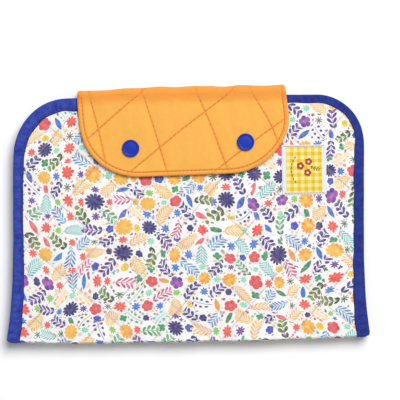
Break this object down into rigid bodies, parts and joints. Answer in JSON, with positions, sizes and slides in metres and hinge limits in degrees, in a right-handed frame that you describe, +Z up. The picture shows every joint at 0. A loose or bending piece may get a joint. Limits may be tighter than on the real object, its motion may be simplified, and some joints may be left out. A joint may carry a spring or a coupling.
{
  "type": "travel changing pad",
  "caption": "Quilted travel changing pad, folded flat as an accordion with bound edges, rounded top corners and a snap-closed flap.",
  "frame": {"origin": "under the middle of the folded pad, on the surface it lies on", "axes": "+X across the pad to the right, +Y from the bottom fold to the bound top edge with the flap, +Z up out of the front panel"},
  "size_m": [0.257, 0.1782, 0.0191],
  "materials": {
    "printed_cotton": "matte white cotton with a dense small floral print in many colours, quilted",
    "orange_cotton": "matte plain orange cotton, quilted",
    "binding_tape": "matte royal blue folded cotton tape",
    "wadding": "soft white polyester wadding",
    "snap_plastic": "glossy royal blue moulded acetal",
    "label_cotton": "matte yellow checked woven cotton label"
  },
  "bodies": {
    "panel_1": {"panel_1_outer": "printed_cotton", "panel_1_wadding": "wadding", "panel_1_lining": "orange_cotton", "panel_1_binding": "binding_tape"},
    "panel_2": {"panel_2_outer": "printed_cotton", "panel_2_wadding": "wadding", "panel_2_lining": "orange_cotton", "panel_2_binding_left": "binding_tape", "panel_2_binding_right": "binding_tape"},
    "panel_3": {"panel_3_outer": "printed_cotton", "panel_3_wadding": "wadding", "panel_3_lining": "orange_cotton", "panel_3_binding_left": "binding_tape", "panel_3_binding_right": "binding_tape"},
    "panel_4": {"panel_4_outer": "printed_cotton", "panel_4_wadding": "wadding", "panel_4_lining": "orange_cotton", "panel_4_binding": "binding_tape", "label": "label_cotton", "snap_stud_left": "snap_plastic", "snap_stud_right": "snap_plastic", "snap_back_cap_left": "snap_plastic", "snap_back_cap_right": "snap_plastic"},
    "flap_bridge": {"flap_bridge_outer": "orange_cotton", "flap_bridge_wadding": "wadding", "flap_bridge_lining": "orange_cotton"},
    "flap": {"flap_outer": "orange_cotton", "flap_wadding": "wadding", "flap_lining": "orange_cotton", "snap_cap_left": "snap_plastic", "snap_cap_right": "snap_plastic", "snap_socket_left": "snap_plastic", "snap_socket_right": "snap_plastic"}
  },
  "joints": [
    {"name": "fold_1", "type": "hinge", "parent": "panel_1", "child": "panel_2", "pos_m": [0, -0.088, 0.00335], "axis": [1, 0, 0], "range_deg": [0, 179]},
    {"name": "fold_2", "type": "hinge", "parent": "panel_2", "child": "panel_3", "pos_m": [0, 0.038, 0.00685], "axis": [1, 0, 0], "range_deg": [-179, 0]},
    {"name": "fold_3", "type": "hinge", "parent": "panel_3", "child": "panel_4", "pos_m": [0, -0.088, 0.01035], "axis": [1, 0, 0], "range_deg": [0, 179]},
    {"name": "flap_lift", "type": "hinge", "parent": "panel_1", "child": "flap_bridge", "pos_m": [0, 0.08715, 0.00335], "axis": [-1, 0, 0], "range_deg": [0, 88.5]},
    {"name": "flap_turn", "type": "hinge", "parent": "flap_bridge", "child": "flap", "pos_m": [0, 0.08715, 0.01385], "axis": [-1, 0, 0], "range_deg": [0, 88.5]}
  ],
  "couplings": [
    {"joint": "fold_2", "follows": "fold_1", "ratio": -1},
    {"joint": "fold_3", "follows": "fold_1", "ratio": 1},
    {"joint": "flap_turn", "follows": "flap_lift", "ratio": 1}
  ]
}
